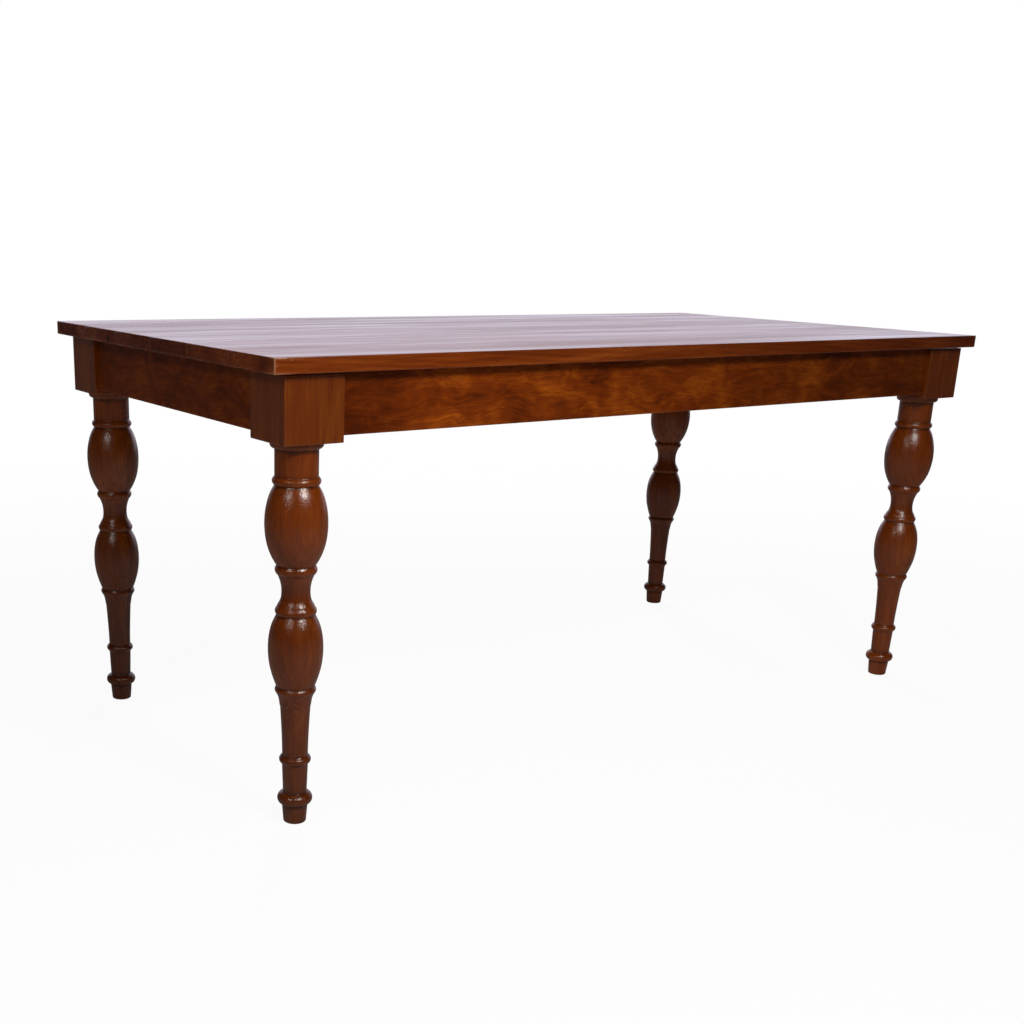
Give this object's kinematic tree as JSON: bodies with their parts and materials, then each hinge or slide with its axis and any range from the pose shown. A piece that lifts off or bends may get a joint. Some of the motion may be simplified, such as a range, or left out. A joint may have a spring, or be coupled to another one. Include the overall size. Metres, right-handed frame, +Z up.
{
  "type": "farmhouse table",
  "caption": "Long farmhouse dining table: stained plank top on an apron frame with turned vase-and-ring legs.",
  "frame": {"origin": "on the floor, under the middle of the top", "axes": "+X along the length, +Z up, and the long front side faces -Y"},
  "size_m": [1.71, 0.84, 0.76],
  "materials": {
    "top_wood": "satin lacquer over red-brown stain",
    "frame_wood": "satin lacquer over red-brown stain",
    "leg_wood": "gloss lacquer over red-brown stain",
    "raw_wood": "planed, unfinished",
    "zinc_steel": "zinc plated"
  },
  "bodies": {
    "root": {"top_plank_1": "top_wood", "top_plank_2": "top_wood", "top_plank_3": "top_wood", "top_plank_4": "top_wood", "top_plank_5": "top_wood", "top_plank_6": "top_wood", "loose_tongues": "raw_wood", "apron_front": "frame_wood", "apron_back": "frame_wood", "apron_left": "frame_wood", "apron_right": "frame_wood", "leg_front_left": "leg_wood", "leg_front_right": "leg_wood", "leg_back_left": "leg_wood", "leg_back_right": "leg_wood", "corner_brace_front_left": "raw_wood", "corner_brace_front_right": "raw_wood", "corner_brace_back_left": "raw_wood", "corner_brace_back_right": "raw_wood", "hanger_bolts": "zinc_steel", "bolt_washers": "zinc_steel", "bolt_nuts": "zinc_steel", "brace_screws": "zinc_steel", "top_bearer_left": "raw_wood", "top_bearer_right": "raw_wood", "bearer_screws": "zinc_steel", "top_buttons": "raw_wood", "button_screws": "zinc_steel"}
  },
  "joints": []
}
